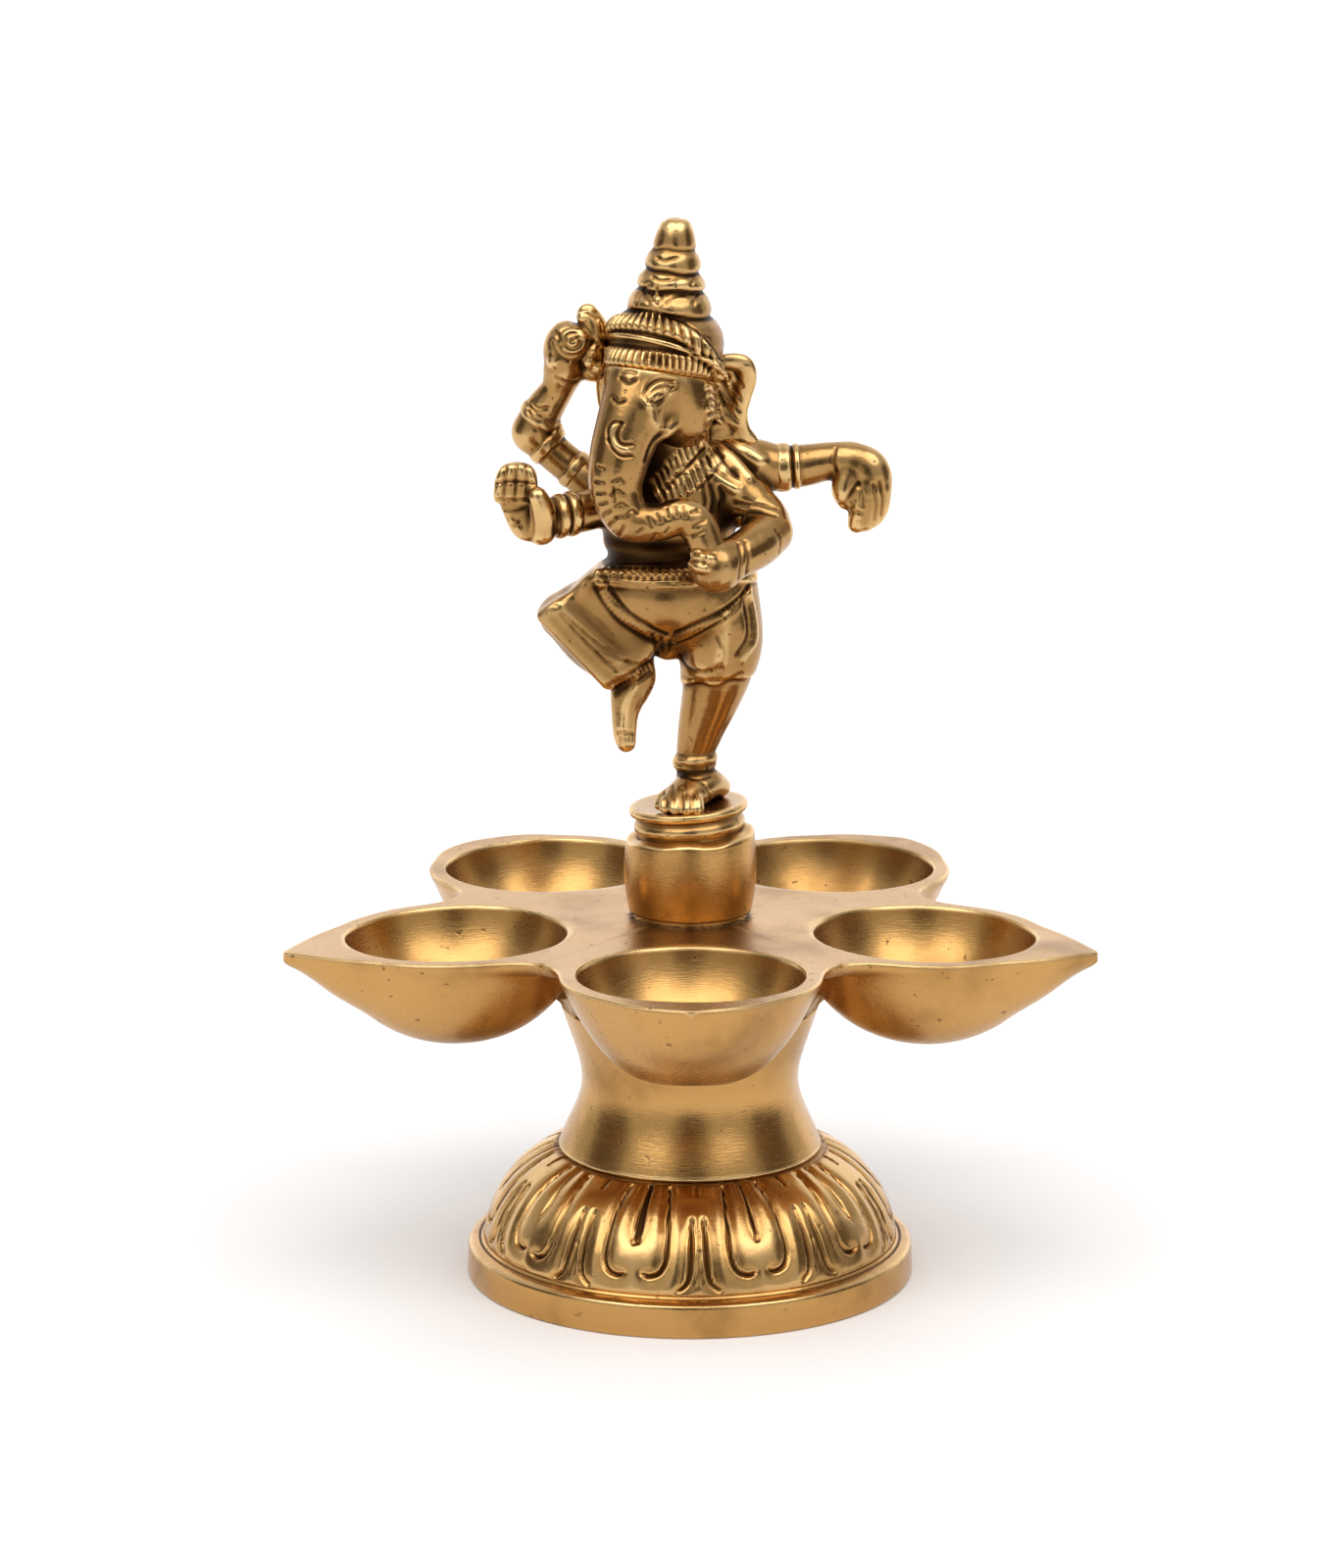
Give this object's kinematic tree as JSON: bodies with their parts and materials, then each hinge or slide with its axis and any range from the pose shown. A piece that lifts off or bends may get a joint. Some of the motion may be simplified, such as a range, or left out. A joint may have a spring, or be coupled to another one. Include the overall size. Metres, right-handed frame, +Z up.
{
  "type": "aarti lamp",
  "caption": "Cast brass oil lamp: a lotus foot and waisted column carry a star tray of pointed wick bowls, with a dancing elephant-headed figure on a screw-on drum.",
  "frame": {"origin": "middle of the ring that the lamp stands on", "axes": "+Z up along the tie rod, -Y the way the figure and the front bowl face"},
  "size_m": [0.1718, 0.1634, 0.2304],
  "materials": {
    "carved_brass": "cast and carved, dark patina in the grooves",
    "turned_brass": "turned and brushed",
    "tray_brass": "cast, filed flat on top, bowls turned and brushed",
    "figure_brass": "cast and chased, burnished on the high spots",
    "steel": "plain steel"
  },
  "bodies": {
    "lamp": {"lotus_foot": "carved_brass", "column": "turned_brass", "bowl_tray": "tray_brass", "tie_rod": "steel", "clamp_washer": "steel", "clamp_nut": "steel"},
    "seat": {"seat_washer": "turned_brass"},
    "figure": {"drum": "turned_brass", "figure_casting": "figure_brass", "rear_left_arm": "figure_brass", "rear_right_arm": "figure_brass", "front_right_arm": "figure_brass", "front_left_arm": "figure_brass"}
  },
  "joints": [
    {"name": "drum_rise", "type": "slide", "parent": "lamp", "child": "seat", "axis": [0, 0, 1], "range_m": [0, 0.0075]},
    {"name": "drum_turn", "type": "hinge", "parent": "seat", "child": "figure", "pos_m": [0, 0, 0.0808], "axis": [0, 0, 1], "range_deg": [0, 2160]}
  ],
  "couplings": [
    {"joint": "drum_rise", "follows": "drum_turn", "m_per_rad": 0.00019894}
  ]
}
